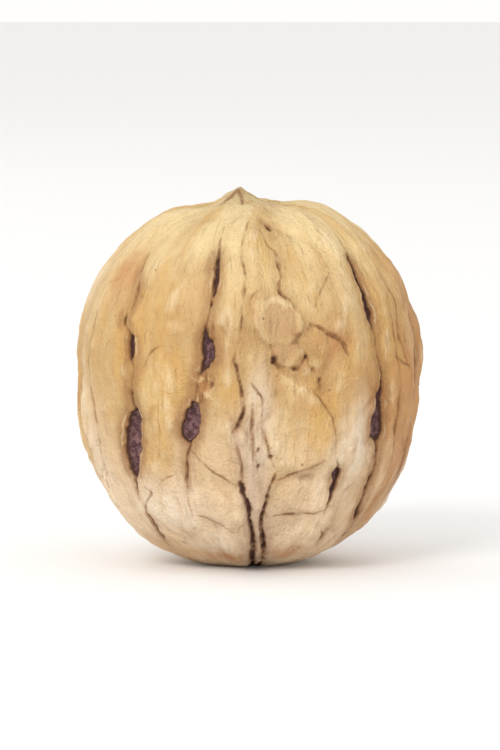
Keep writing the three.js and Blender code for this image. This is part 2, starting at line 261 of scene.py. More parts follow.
# Creases at the foot of the beak, as (x, y, width) seen from above.
beak_creases = [
    [(-3.9, -4.4, 0.1), (-3.2, -3.4, 0.4), (-2.4, -2.4, 0.5), (-1.6, -1.5, 0.55), (-1.0, -0.9, 0.4)],
    [(-1.0, -0.7, 0.4), (-0.7, -1.6, 0.36), (-0.55, -2.8, 0.34), (-0.5, -4.4, 0.24), (-0.6, -5.4, 0.1)],
]


def smoothstep(start, end, value):
    share = np.clip((value - start) / (end - start), 0, 1)
    return share * share * (3 - 2 * share)


def bell(value):
    return np.exp(-(value**2))


def settle(points):
    """Points put back on the smooth form after they have been moved beside it."""
    return smooth_form(unit(points - [0, 0, WIDEST_AT]))


def on_shell(azimuth, level):
    """Point of the smooth form at an azimuth from the front (-Y) towards +X, in degrees."""
    tall, full = (float(value) for value in meridian(level - WIDEST_AT))
    rise = min(1, abs(level - WIDEST_AT) / tall)
    girth = (1 - rise**full) ** (1 / full)
    turn = math.radians(azimuth)
    return np.array(
        [WIDTH / 2 * girth * math.sin(turn), -DEPTH / 2 * girth * math.cos(turn), level]
    )


def lumps(points, size, seed):
    """Smooth random relief between about -1 and 1, with lumps about size across."""
    slopes = unit(np.random.default_rng(seed).normal(size=(256, 3)))
    place = points / size
    cell = np.floor(place).astype(np.int64)
    inside = place - cell
    ease = inside**3 * (inside * (6 * inside - 15) + 10)
    total = np.zeros(len(points))
    for corner in itertools.product((0, 1), repeat=3):
        mixed = (cell + corner) @ np.array([73856093, 19349663, 83492791])
        mixed = (mixed ^ (mixed >> 13)) * 1274126177
        slope = slopes[(mixed ^ (mixed >> 16)) & 255]
        weight = np.prod(np.where(corner, ease, 1 - ease), axis=1)
        total += weight * np.sum(slope * (inside - corner), axis=1)
    return 1.6 * total


def shifts(points, size, seed):
    """A random shift of each point in all three directions, from -1 to 1."""
    return np.stack([lumps(points, size, seed + number) for number in range(3)], axis=1)


def drawn(line):
    """A smooth chain of (x, y, z, half width, distance to the nearer end) on the shell."""
    knots = np.array([[*on_shell(azimuth, level), width / 2] for azimuth, level, width in line])
    return smooth_chain(knots)


def drawn_on_top(line):
    """The same for a line that is seen from above."""
    knots = np.array([[x, y, LENGTH, width / 2] for x, y, width in line])
    knots[:, :3] = settle(knots[:, :3])
    return smooth_chain(knots)


def smooth_chain(knots):
    """The chain through those knots, with each of its points' distance to the nearer end."""
    padded = np.vstack([2 * knots[0] - knots[1], knots, 2 * knots[-1] - knots[-2]])
    chain = []
    for before, start, end, after in zip(padded, padded[1:], padded[2:], padded[3:]):
        for t in np.arange(LINE_STEPS) / LINE_STEPS:
            bend = (2 * before - 5 * start + 4 * end - after) * t**2
            turn = (3 * start - before - 3 * end + after) * t**3
            chain.append(start + ((end - before) * t + bend + turn) / 2)
    chain = np.array([*chain, knots[-1]])
    chain[:, 3] = np.maximum(chain[:, 3], LEAST_HALF_WIDTH)
    steps = np.linalg.norm(np.diff(chain[:, :3], axis=0), axis=1)
    along = np.concatenate([[0], np.cumsum(steps)])
    to_end = np.minimum(along, along[-1] - along)
    if along[-1] < SHORTEST_FADING:
        to_end[:] = VALLEY_FADE
    return np.column_stack([chain, to_end])


def beside(points, chain):
    """Points near a chain: which, distance to its edge, half width, distance to its end, way to it."""
    lowest, highest = chain[:, :3].min(0) - LINE_REACH, chain[:, :3].max(0) + LINE_REACH
    near = np.flatnonzero(np.all((points > lowest) & (points < highest), axis=1))
    edge = np.full(len(near), np.inf)
    half = np.zeros(len(near))
    to_end = np.zeros(len(near))
    way = np.zeros((len(near), 3))
    for start, end in zip(chain, chain[1:]):
        run = end[:3] - start[:3]
        share = np.clip((points[near] - start[:3]) @ run / (run @ run), 0, 1)
        spot = start + share[:, None] * (end - start)
        to_line = spot[:, :3] - points[near]
        gap = np.linalg.norm(to_line, axis=1)
        closer = gap - spot[:, 3] < edge
        edge = np.where(closer, gap - spot[:, 3], edge)
        half = np.where(closer, spot[:, 3], half)
        to_end = np.where(closer, spot[:, 4], to_end)
        way = np.where(closer[:, None], to_line / np.maximum(gap, 1e-6)[:, None], way)
    return near, edge, half, to_end, way


def wavering(points):
    """Points shifted a little, so that a smooth chain comes out as a natural, wavering line."""
    return points + 0.3 * shifts(points, size=4.5, seed=71) + 0.1 * shifts(points, size=1.3, seed=74)


pit_lines = []
for azimuth, level, width, height in pits:
    reach = (height - width) / 2
    pit_lines.append([(azimuth, level + reach + 0.05, width), (azimuth, level - reach, width)])

# Each kind of line, with how much of a vein's broad valley it lies in, and of its depth it has.
chain_kinds = [
    ([drawn(line) for line in veins], 1.0, 1.0),
    ([drawn(line) for line in suture_lines], 0.2, 1.0),
    ([drawn(line) for line in cracks], 0.25, 0.7),
    ([drawn_on_top(line) for line in beak_creases], 0.3, 0.6),
    ([drawn(line) for line in pit_lines], 0.3, 1.0),
]
every_chain = [chain for chains, *_ in chain_kinds for chain in chains]

# The mesh is made twice as fine near the edges of slots and cracks, and its points are then drawn in
# towards those edges, where the shape turns fastest.
FINE_WITHIN = 0.5
PULL = 0.5
PULL_REACH = 0.5

nearest = np.full(len(skin), LINE_REACH)
wavy_skin = wavering(skin)
for chain in every_chain:
    near, edge, *_ = beside(wavy_skin, chain)
    nearest[near] = np.minimum(nearest[near], np.abs(edge))
ball = bpy.data.meshes.new("ball")
ball.from_pydata(directions.tolist(), [], squares.tolist())
working = bmesh.new()
working.from_mesh(ball)
close = nearest < FINE_WITHIN
fine = [edge for edge in working.edges if close[edge.verts[0].index] and close[edge.verts[1].index]]
bmesh.ops.subdivide_edges(working, edges=fine, cuts=1, use_grid_fill=True)
mesh = bpy.data.meshes.new("walnut_shell")
working.to_mesh(mesh)
working.free()
bpy.data.meshes.remove(ball)

directions = np.empty(3 * len(mesh.vertices))
mesh.vertices.foreach_get("co", directions)
skin = smooth_form(unit(directions.reshape(-1, 3)))
wavy_skin = wavering(skin)
for chain in every_chain:
    near, edge, _, _, way = beside(wavy_skin, chain)
    pull = PULL * edge * bell(edge / PULL_REACH)
    skin[near] = settle(skin[near] + way * pull[:, None])

slot_edge = np.full(len(skin), LINE_REACH)  # distance to the nearest opening's edge, less than 0 inside
cut = np.zeros(len(skin))
valley = np.zeros(len(skin))
halo = np.zeros(len(skin))
ragged = 0.16 * lumps(skin, size=0.9, seed=11) + 0.1 * lumps(skin, size=0.45, seed=12)
ragged += 0.12 * lumps(skin * [1, 1, 0.35], size=0.4, seed=13)
wavy_skin = wavering(skin)
for chains, dip, share in chain_kinds:
    for chain in chains:
        near, edge, half, to_end, _ = beside(wavy_skin, chain)
        edge = edge + ragged[near] * np.minimum(1, half / RAGGED_FROM)
        into = smoothstep(SLOT_LIP, -np.minimum(half, SLOT_WALL), edge)
        full_depth = share * np.minimum(SLOT_DEPTH, LINE_DEPTH + DEPTH_BY_WIDTH * half)
        cut[near] = np.maximum(cut[near], full_depth * into * smoothstep(0, TIP_FADE, to_end))
        slot_edge[near] = np.minimum(slot_edge[near], edge)
        dipped = dip * smoothstep(0, VALLEY_FADE, to_end) * bell(np.maximum(edge, 0) / VALLEY_SPREAD)
        valley[near] = np.maximum(valley[near], dipped)
        darkened = np.minimum(1, half / HALO_FROM) * bell(np.maximum(edge, 0) / HALO_SPREAD)
        halo[near] = np.maximum(halo[near], darkened)

# ---------------------------------------------------------------------------------------------
# Relief of the shell, as it grew: ribs, the suture band, the beak and its shoulders, lengthwise
# folds, and a net of shallow creases with slightly uneven plates between them. A few places stand
# proud of it, and the steepest of those are rubbed smooth.
# ---------------------------------------------------------------------------------------------

BAND_HALF_WIDTH = 2.6
TIP_OFFSET = -0.7  # the beak's point lies left of the middle
TIP_SPREADS = (1.9, 1.35)  # from its point to its foot, on the left and on the right
TIP_SPREAD_THROUGH = 1.9
SHOULDERS = [(7.4, 0.9, 4.2), (-7.8, 0.5, 3.4)]  # X, rise and half width of the swellings by the beak
SHOULDER_THROUGH = 8.0
FOLD_GIRTH, FOLD_CORE = 21.0, 3.0  # lengthwise patterns have their true width this far out
PLATES = 120
PLATE_SQUEEZE = 0.6  # plates are longer up the nut than they are wide
PLATE_STEP = 0.12  # one plate above the next
STEEP_EDGE = 0.6  # raised places with an edge less soft than this are rubbed
STRIP_HALF_WIDTH = 1.7  # of the strip between the suture's furrows
THREAD_SPACING = 1.3  # of the threads in the suture band
CREASE_DEPTH = 0.2
CREASE_WIDTH = 0.4
WRINKLE_DEPTH = 0.14

# Raised places: (azimuth, level, half width, half height, rise, softness of the edge).
raised = [
    (11.0, 27.8, 2.7, 2.5, 0.5, 0.18),
    (13.8, 24.2, 1.7, 1.1, 0.34, 0.26),
    (18.6, 16.0, 3.5, 4.8, 0.6, 0.75),
    (30, 29.4, 2.6, 3.4, 0.30, 1.20),
    (23, 8.7, 3.0, 1.7, 0.26, 0.80),
    (-10, 8.0, 3.4, 2.2, 0.28, 0.90),
    (-31, 18.5, 2.4, 4.2, 0.34, 1.20),
    (-30, 30.5, 3.0, 4.0, 0.34, 1.40),
    (70, 18.0, 2.6, 4.2, 0.40, 1.10),
    (96, 24.0, 2.4, 3.6, 0.42, 0.90),
    (120, 15.0, 2.8, 3.8, 0.42, 1.10),
    (143, 24.5, 2.2, 2.6, 0.32, 0.40),
    (166, 17.0, 2.4, 3.8, 0.42, 1.00),
    (-172, 29.0, 2.0, 2.8, 0.28, 0.40),
    (-149, 22.0, 2.4, 3.4, 0.42, 1.00),
    (-123, 19.5, 2.8, 4.0, 0.42, 1.00),
    (-98, 14.5, 2.4, 3.4, 0.36, 0.90),
    (-70, 16.5, 2.2, 3.2, 0.34, 0.90),
]

# Crumbled places: (azimuth, level, half width, half height).
crumbled_places = [
    (19, 22.2, 2.8, 1.4), (-14, 20.6, 1.6, 2.0), (14, 31.4, 0.9, 3.0),
    (150, 27.5, 1.6, 1.0), (-165, 32.0, 1.4, 1.2),
]

# Where the shell is stained browner, and where it is bleached, given in the same way. The first two
# stains, on the right cheek, are partly painted shade on that side.
stain_and_shade_places = [
    (78, 12, 5, 9), (82, 25, 3.5, 6), (-12, 1.6, 3.2, 1.3), (22, 2.0, 2.6, 1.3), (-54, 32, 2.0, 3.0),
    (-16, 20.6, 1.2, 2.4), (31, 25.0, 1.8, 1.6), (140, 10, 4, 6), (-120, 28, 3.5, 5), (-108, 19, 3, 6),
    (172, 6, 4, 3), (112, 30, 3, 4), (160, 24, 2.5, 5), (-150, 18, 3, 5),
]
# The tall band at -74 on the left cheek is partly a painted pale rim of light; the others are faded
# places of the shell.
bleach_and_painted_light_places = [
    (-36, 6.6, 4.5, 3.2), (41, 14, 2.2, 4.6), (-74, 12, 3.5, 8), (-20, 3.2, 3, 1.8), (150, 19, 2.6, 4),
    (-152, 9, 4, 4), (100, 8, 4, 4), (-100, 31, 4, 3.5), (4, 17, 1.4, 5), (178, 30, 3, 4),
]


def smooth_normals(points):
    """Outward normals of the smooth form."""
    x, y, dz = points[:, 0], points[:, 1], points[:, 2] - WIDEST_AT
    tall, full = meridian(dz)
    girth = np.hypot(x / (WIDTH / 2), y / (DEPTH / 2))
    steep = np.maximum(girth, 1e-6) ** (full - 2)
    up = np.sign(dz) * (np.abs(dz) / tall) ** (full - 1) / tall
    return unit(np.stack([steep * x / (WIDTH / 2) ** 2, steep * y / (DEPTH / 2) ** 2, up], axis=1))


outward = unit(skin - [0, 0, WIDEST_AT])
normals = smooth_normals(skin)
level = skin[:, 2]
azimuth = np.arctan2(skin[:, 0], -skin[:, 1])


def lengthwise(points, squeeze):
    """Points in a space where patterns on the shell run from the tip to the stem end."""
    from_axis = np.hypot(points[:, 0], points[:, 1])
    spread = FOLD_GIRTH / (from_axis + FOLD_CORE)
    return np.stack([points[:, 0] * spread, points[:, 1] * spread, points[:, 2] * squeeze], axis=1)


def suture_x(level, on_front):
    """X of the suture at a level: it wanders a little on the front, and less on the back."""
    drift = smoothstep(20, 6, level)
    return np.where(on_front, -0.65 + 1.85 * drift, 0.5 - 0.7 * drift)


def ribs():
    share = level / LENGTH
    fade = smoothstep(0.05, 0.75, np.hypot(outward[:, 0], outward[:, 1]))
    wide = 0.22 * np.cos(7 * azimuth + 1.4 * np.sin(2.2 * share + 0.4))
    middle = 0.16 * np.cos(11 * azimuth - 2.1 * share + 1.1)
    narrow = 0.1 * np.cos(17 * azimuth + 1.6 * np.sin(4 * share) + 0.6)
    return fade * (wide + middle + narrow)


def suture_band():
    across = (skin[:, 0] - suture_x(level, skin[:, 1] < 0)) / BAND_HALF_WIDTH
    return BAND_RISE * np.exp(-(across**4)) * smoothstep(-1, 16, level)


def band_threads():
    """Fine lengthwise threads in the suture band."""
    across = skin[:, 0] - suture_x(level, skin[:, 1] < 0) + 0.25 * lumps(skin, size=4, seed=91)
    within = np.exp(-((across / BAND_HALF_WIDTH) ** 4))
    return 0.06 * np.cos(2 * math.pi * across / THREAD_SPACING) * within


def beak():
    spread = np.where(skin[:, 0] < TIP_OFFSET, *TIP_SPREADS)
    foot = np.hypot((skin[:, 0] - TIP_OFFSET) / spread, skin[:, 1] / TIP_SPREAD_THROUGH)
    return np.where(level > WIDEST_AT, TIP_RISE * np.exp(-(foot**1.5)), 0)


def shoulders():
    total = np.zeros(len(skin))
    for x, rise, half_width in SHOULDERS:
        across, through = (skin[:, 0] - x) / half_width, skin[:, 1] / SHOULDER_THROUGH
        total += rise * np.exp(-(across**2) - through**2)
    return np.where(level > WIDEST_AT, total, 0)


def folds():
    """Ridges that run lengthwise."""
    drawn_out = lengthwise(skin, 0.26)
    return 0.15 * lumps(drawn_out, size=2.6, seed=21) + 0.08 * lumps(drawn_out, size=1.2, seed=22)


def plates_and_creases():
    """Uneven plates parted by shallow creases: relief, and the crease's own strength."""
    chance = np.random.default_rng(5)
    count = np.arange(PLATES) + 0.5
    fall, turn = np.arccos(1 - 2 * count / PLATES), math.pi * (1 + 5**0.5) * count
    spread = np.stack([np.cos(turn) * np.sin(fall), np.sin(turn) * np.sin(fall), np.cos(fall)], axis=1)
    scattered = unit(spread + 0.13 * chance.normal(size=spread.shape))
    middles = smooth_form(scattered) * [1, 1, PLATE_SQUEEZE]
    heights = chance.uniform(-1, 1, PLATES)
    bent = skin + 1.3 * shifts(skin, size=6, seed=31) + 0.4 * shifts(skin, size=1.8, seed=34)
    bent = bent * [1, 1, PLATE_SQUEEZE]
    apart = np.linalg.norm(bent[:, None] - middles[None], axis=2)
    order = np.argsort(apart, axis=1)[:, :4]
    own = middles[order[:, 0]]
    gap = np.full(len(skin), np.inf)
    beyond = np.zeros(len(skin))
    for rank in range(1, 4):
        other = middles[order[:, rank]]
        distance = np.sum((bent - (own + other) / 2) * unit(own - other), axis=1)
        beyond = np.where(distance < gap, heights[order[:, rank]], beyond)
        gap = np.minimum(gap, distance)
    share = smoothstep(0, 0.7, gap)
    step = heights[order[:, 0]] * (1 + share) / 2 + beyond * (1 - share) / 2
    strength = smoothstep(-0.35, 0.5, lumps(skin, size=7, seed=41))
    crease = bell(gap / CREASE_WIDTH) * strength
    return PLATE_STEP * step, crease


def wrinkles():
    """Meandering shallow wrinkles, stronger in some places than in others."""
    bent = (skin + 0.8 * shifts(skin, size=3, seed=44)) * [1, 1, 0.55]
    line = bell(lumps(bent, size=4.2, seed=47) / 0.11) + bell(lumps(bent, size=2.6, seed=48) / 0.1)
    return line * smoothstep(-0.1, 0.7, lumps(skin, size=8, seed=49)) * smoothstep(37, 29, level)


def patch(azimuth, level, half_width, half_height, soft, number):
    """1 inside an uneven oval on the shell and 0 outside, with an edge that soft."""
    middle = on_shell(azimuth, level)
    far = 1.5 * max(half_width, half_height) + soft + 1
    near = np.flatnonzero(np.linalg.norm(skin - middle, axis=1) < far)
    offset = skin[near] - middle
    normal = smooth_normals(middle[None])[0]
    sideways = unit(np.cross([0, 0, 1], normal))
    uneven = 0.6 * shifts(skin[near], size=2.4, seed=100 + 3 * number)
    uneven += 0.3 * shifts(skin[near], size=1.2, seed=81)
    uneven *= min(1, half_width / 2)
    across = offset @ sideways + uneven[:, 0]
    along = offset @ np.cross(normal, sideways) + uneven[:, 1]
    outside = (np.hypot(across / half_width, along / half_height) - 1) * half_width
    inside = np.zeros(len(skin))
    inside[near] = smoothstep(soft, -soft, outside)
    return inside


def patches(ovals, softness, first_number):
    """The greatest of many patches; softness is a share of each oval's half width."""
    total = np.zeros(len(skin))
    for number, oval in enumerate(ovals, first_number):
        total = np.maximum(total, patch(*oval, softness * oval[2], number))
    return total


lifted = np.zeros(len(skin))
rubbed = np.zeros(len(skin))
for number, (*oval, rise, soft) in enumerate(raised):
    mound = patch(*oval, soft, number)
    lifted = np.maximum(lifted, rise * mound)
    if soft < STEEP_EDGE:
        rubbed = np.maximum(rubbed, mound)
crumbled = patches(crumbled_places, 0.35, 20)
stain_and_shade = patches(stain_and_shade_places, 0.9, 30)
bleach_and_painted_light = patches(bleach_and_painted_light_places, 0.9, 60)

plates, crease = plates_and_creases()
wrinkle = wrinkles()
rough = 0.2 * lumps(skin, size=3.4, seed=61) + 0.1 * lumps(skin, size=1.4, seed=62)
rough += 0.045 * lumps(skin, size=0.7, seed=63)
crumbs = crumbled * (0.36 * lumps(skin, size=1.5, seed=66) + 0.18 * lumps(skin, size=0.7, seed=67))
from_suture = skin[:, 0] - suture_x(level, skin[:, 1] < 0)
strip = np.exp(-((from_suture / STRIP_HALF_WIDTH) ** 4)) * smoothstep(21, 15, level)
strip *= smoothstep(0.7, 0.5, np.abs(np.sin(azimuth)))
crumbs += strip * (0.14 * lumps(skin, size=1.2, seed=68) + 0.07 * lumps(skin, size=0.55, seed=69))
slot_floor = 0.16 * lumps(skin, size=0.5, seed=64) + 0.1 * lumps(skin * [1, 1, 0.4], size=0.35, seed=65)
inside = np.clip(cut / SLOT_DEPTH, 0, 1)
relief = plates - CREASE_DEPTH * crease - WRINKLE_DEPTH * wrinkle + lifted + folds() + band_threads()
relief += rough * (1 - 0.5 * rubbed) + crumbs - VALLEY_DEPTH * valley
relief *= 1 - 0.4 * smoothstep(34, 39, level)  # the shoulders are smoother
relief = relief * smoothstep(-1, 4, level) * (1 - 0.6 * inside) - cut + inside * slot_floor

broad = ribs() + suture_band() + beak() + shoulders()
shell = skin + outward * broad[:, None] + normals * relief[:, None]

# ---------------------------------------------------------------------------------------------
# Stem end. The nut stands on a small flat that its round base is worn down to, and the slit where
# the stem was joined to the shell crosses the flat from front to back.
# ---------------------------------------------------------------------------------------------

SCAR_HALF_WIDTH, SCAR_HALF_LENGTH, SCAR_DEPTH = 0.75, 5.4, 0.9
SCAR_X = 0.6

scar = 1 - ((shell[:, 0] - SCAR_X) / SCAR_HALF_WIDTH) ** 2 - (shell[:, 1] / SCAR_HALF_LENGTH) ** 2
scar_depth = SCAR_DEPTH * np.sqrt(np.maximum(scar, 0)) * (level < WIDEST_AT)
shell[:, 2] = np.maximum(shell[:, 2], scar_depth)

# ---------------------------------------------------------------------------------------------
# The skin, and what its finish needs to know at each point: how far inside a slot it is, how hollow
# or proud of its surroundings, and where it is rubbed or crumbled.
# ---------------------------------------------------------------------------------------------

shell[:, :2] += (low + high)[:2] / 2 - (shell.min(0) + shell.max(0))[:2] / 2
mesh.vertices.foreach_set("co", (shell * MM).ravel())
mesh.polygons.foreach_set("use_smooth", [True] * len(mesh.polygons))
walnut = bpy.data.objects.new("walnut_shell", mesh)
bpy.context.scene.collection.objects.link(walnut)

ends = np.empty(2 * len(mesh.edges), int)
mesh.edges.foreach_get("vertices", ends)
ends = ends.reshape(-1, 2)
both_ways = np.vstack([ends, ends[:, ::-1]])
neighbours = np.bincount(both_ways[:, 0], minlength=len(shell))


def evened(values, rounds):
    """Values with each point's mixed with its neighbours', that many times over."""
    for _ in range(rounds):
        total = np.bincount(both_ways[:, 0], values[both_ways[:, 1]], minlength=len(values))
        values = (values + total / neighbours) / 2
    return values


height = evened(broad + relief + 0.85 * cut, 1)
notes = {
    "slot_edge": slot_edge,
    "slot_depth": cut,
    # hollow and basin also drive painted shade in the finish.
    "hollow": evened(height, 40) - height,
    "basin": evened(height, 600) - evened(height, 20),
    "crease": np.clip(crease + 0.5 * wrinkle, 0, 1),
    "rubbed": rubbed,
    "crumbled": crumbled,
    "strip": strip,
    "stain_and_shade": stain_and_shade,
    "bleach_and_painted_light": bleach_and_painted_light,
    "vein": valley,
    "halo": halo,
}
for name, values in notes.items():
    layer = mesh.attributes.new(name, "FLOAT", "POINT")
    layer.data.foreach_set("value", values.astype(np.float32))

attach(walnut, "root")
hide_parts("walnut")

# ---------------------------------------------------------------------------------------------
# Finish of the shell: dry, bleached wood. It is cream on the shoulders, tan round the middle and
# a pale pinkish buff at the stem end, browner along the veins, with dark purplish floors in the
# slots, rubbed places in a greyer brown, fine fibres, and small dark pores. Light and shade are
# painted in too: painted light at the stem end and on the left cheek, painted shade down the
# right side and in hollows, and painted highlights on proud places and slot lips.
# ---------------------------------------------------------------------------------------------


def paint(red, green, blue):
    """A linear colour with full alpha from screen values of 0 to 255."""
    screen = np.array([red, green, blue]) / 255
    linear = np.where(screen <= 0.04045, screen / 12.92, ((screen + 0.055) / 1.055) ** 2.4)
    return (*linear, 1)


class Wire:
    """An output of a node in a material. Arithmetic on wires adds Math nodes."""

    def __init__(self, tree, socket=None):
        self.tree = tree
        self.socket = socket

    def node(self, kind, settings=None, sockets=None, output=0):
        """A new node: its settings first, then the value or wire of each socket."""
        made = self.tree.nodes.new(kind)
        for name, value in (settings or {}).items():
            setattr(made, name, value)
        for name, value in (sockets or {}).items():
            if isinstance(value, Wire):
                self.tree.links.new(value.socket, made.inputs[name])
            else:
                made.inputs[name].default_value = value
        return Wire(self.tree, None if output is None else made.outputs[output])

    def maths(self, operation, first, second):
        return self.node("ShaderNodeMath", {"operation": operation}, {0: first, 1: second})

    def __add__(self, other):
        return self.maths("ADD", self, other)

    def __sub__(self, other):
        return self.maths("SUBTRACT", self, other)

    def __rsub__(self, other):
        return self.maths("SUBTRACT", other, self)

    def __mul__(self, other):
        return self.maths("MULTIPLY", self, other)

    def __rtruediv__(self, other):
        return self.maths("DIVIDE", other, self)

    __radd__ = __add__
    __rmul__ = __mul__

    def ramp(self, start, end):
        """0 up to start and 1 from end on, with a smooth rise between. It may also run downwards."""
        return self.node(
            "ShaderNodeMapRange",
            {"interpolation_type": "SMOOTHSTEP"},
            {"Value": self, "From Min": start, "From Max": end},
        )

    def mix(self, first, second):
        """Colour that goes from first to second as this wire goes from 0 to 1."""
        sockets = {"Factor": self, MIX_FIRST: first, MIX_SECOND: second}
        return self.node("ShaderNodeMix", {"data_type": "RGBA"}, sockets, MIX_COLOUR)


# A Mix node has several sockets of one name, so its colour sockets go by their numbers.
MIX_FIRST, MIX_SECOND, MIX_COLOUR = 6, 7, 2

TAN = paint(194, 159, 108)
SHOULDER_CREAM = paint(228, 202, 150)
STEM_BUFF_AND_PAINTED_LIGHT = paint(230, 203, 169)
HONEY_AND_SHADE = paint(194, 142, 86)
PALE_TAN = paint(220, 192, 142)
OCHRE = paint(204, 160, 92)
STAIN_AND_SHADE_BROWN = paint(184, 126, 74)
BLEACH_AND_PAINTED_LIGHT = paint(240, 224, 200)
FIBRE_BROWN_AND_SHADE = paint(166, 124, 76)
CREASE_BROWN_AND_SHADE = paint(120, 80, 48)
EDGE_WEAR_AND_HIGHLIGHT = paint(236, 214, 176)
RUBBED_BROWN = paint(184, 144, 102)
VEIN_BROWN = paint(142, 96, 56)
STRIP_BUFF = paint(200, 174, 150)
CRACK_BROWN = paint(76, 46, 32)
SLOT_FLOOR = paint(90, 60, 62)
SLOT_FLOOR_PALE = paint(144, 108, 106)
PORE_BROWN = paint(96, 62, 42)
SHEEN = 0.35  # dry shell shines little

finish = bpy.data.materials.new("walnut_shell")
finish.use_nodes = True
finish.node_tree.nodes.clear()
bench = Wire(finish.node_tree)


def noted(name):
    """What the mesh holds at each point under that name."""
    return bench.node("ShaderNodeAttribute", {"attribute_name": name}, output="Fac")


def vector_maths(operation, *vectors, output="Vector"):
    sockets = dict(enumerate(vectors))
    return bench.node("ShaderNodeVectorMath", {"operation": operation}, sockets, output)


def noise(vector, per_mm, detail, number, output="Fac"):
    """Cloudy noise, per_mm lumps to a millimetre; the number gives each use its own pattern."""
    moved = vector_maths("ADD", vector, (17.3 * number, 9.1 * number, 5.7 * number))
    settings = {"normalize": True}
    sockets = {"Vector": moved, "Scale": per_mm, "Detail": detail, "Roughness": 0.6}
    return bench.node("ShaderNodeTexNoise", settings, sockets, output)


place = bench.node("ShaderNodeTexCoord", output="Object")
place = vector_maths("MULTIPLY", place, (1 / MM, 1 / MM, 1 / MM))
up = bench.node("ShaderNodeSeparateXYZ", {}, {"Vector": place}, "Z")
to_right = bench.node("ShaderNodeSeparateXYZ", {}, {"Vector": place}, "X")
from_axis = vector_maths("LENGTH", vector_maths("MULTIPLY", place, (1, 1, 0)), output="Value")
widening = FOLD_GIRTH / (from_axis + FOLD_CORE)
widening = bench.node("ShaderNodeCombineXYZ", {}, {"X": widening, "Y": widening, "Z": 1.0})
lengthwise_place = vector_maths("MULTIPLY", place, widening)
drawn_out = vector_maths("MULTIPLY", lengthwise_place, (1, 1, 0.14))
half_drawn = vector_maths("MULTIPLY", lengthwise_place, (1, 1, 0.45))

wander = noise(place, per_mm=0.12, detail=3, number=1) - 0.5
blotch = noise(half_drawn, per_mm=0.22, detail=4, number=11)
mottle = noise(half_drawn, per_mm=0.55, detail=4, number=2)
fibres = noise(drawn_out, per_mm=0.9, detail=5, number=3)
fine_fibres = noise(drawn_out, per_mm=3.2, detail=3, number=4)
grit = noise(place, per_mm=2.6, detail=4, number=5)
hollow = noted("hollow")
basin = noted("basin")
vein = noted("vein")

# From the pale stem end through tan to the cream shoulders, browner in blotches and along the veins.
# The stem end's paleness is partly its own colour and partly painted light from below.
colour = (up + 16 * wander).ramp(21, 4).mix(TAN, STEM_BUFF_AND_PAINTED_LIGHT)
colour = (up + 12 * wander).ramp(23, 37).mix(colour, SHOULDER_CREAM)
# Painted shade: the right side turns a darker honey brown. The warm clouds mixed in with it are the
# shell's own tone.
warm_and_shade = noise(place, per_mm=0.1, detail=2, number=6).ramp(0.45, 0.66) * 0.4
warm_and_shade = warm_and_shade + (to_right + 10 * wander).ramp(8, 19) * 0.6
colour = (warm_and_shade * up.ramp(40, 30)).mix(colour, HONEY_AND_SHADE)
ochre_clouds = noise(half_drawn, per_mm=0.16, detail=3, number=12).ramp(0.44, 0.64)
colour = (ochre_clouds * up.ramp(4, 16) * 0.7).mix(colour, OCHRE)
colour = (blotch.ramp(0.48, 0.3) * 0.5).mix(colour, PALE_TAN)
colour = (blotch.ramp(0.52, 0.72) * 0.5).mix(colour, FIBRE_BROWN_AND_SHADE)
colour = (fibres.ramp(0.48, 0.74) * (0.3 - 0.15 * up.ramp(26, 36))).mix(colour, FIBRE_BROWN_AND_SHADE)
colour = (fine_fibres.ramp(0.5, 0.8) * 0.12).mix(colour, CREASE_BROWN_AND_SHADE)
# Stains, with painted shade on the right cheek among them.
colour = (noted("stain_and_shade") * (mottle + 0.2).ramp(0.4, 0.8) * 0.75).mix(colour, STAIN_AND_SHADE_BROWN)
# Faded places, with a painted rim of light on the left cheek among them.
colour = (noted("bleach_and_painted_light") * (1.2 - mottle).ramp(0.4, 0.8) * 0.75).mix(colour, BLEACH_AND_PAINTED_LIGHT)
colour = (noted("strip") * 0.7).mix(colour, STRIP_BUFF)
colour = (vein.ramp(0.45, 1.0) * (fibres + 0.15).ramp(0.4, 0.7) * 0.45).mix(colour, VEIN_BROWN)
# Painted shade: broad hollows are browner.
colour = (basin.ramp(0.0, 0.4) * 0.25).mix(colour, FIBRE_BROWN_AND_SHADE)
# Hollows are browner: partly dirt lodged in them, partly painted shade.
hollow_dirt_and_shade = (hollow + 0.16 * (grit - 0.5)).ramp(0.05, 0.5) * (0.6 - 0.42 * up.ramp(33, 39))
colour = hollow_dirt_and_shade.mix(colour, CREASE_BROWN_AND_SHADE)
# Proud places are paler: partly wear, partly painted highlight.
proud_wear_and_highlight = (0.16 * mottle - 0.08 - hollow).ramp(0.04, 0.2) * fine_fibres.ramp(0.7, 0.4)
proud_wear_and_highlight = proud_wear_and_highlight * (0.45 - 0.25 * noted("rubbed"))
colour = proud_wear_and_highlight.mix(colour, EDGE_WEAR_AND_HIGHLIGHT)
colour = (noted("rubbed") * (hollow + 0.14).ramp(0.0, 0.1) * 0.68).mix(colour, RUBBED_BROWN)
crumb_clouds = noise(place, per_mm=1.3, detail=3, number=13)
loose_crumbs = noted("crumbled") * (crumb_clouds - 0.6 * hollow).ramp(0.5, 0.62)
colour = (loose_crumbs * 0.6).mix(colour, PALE_TAN)

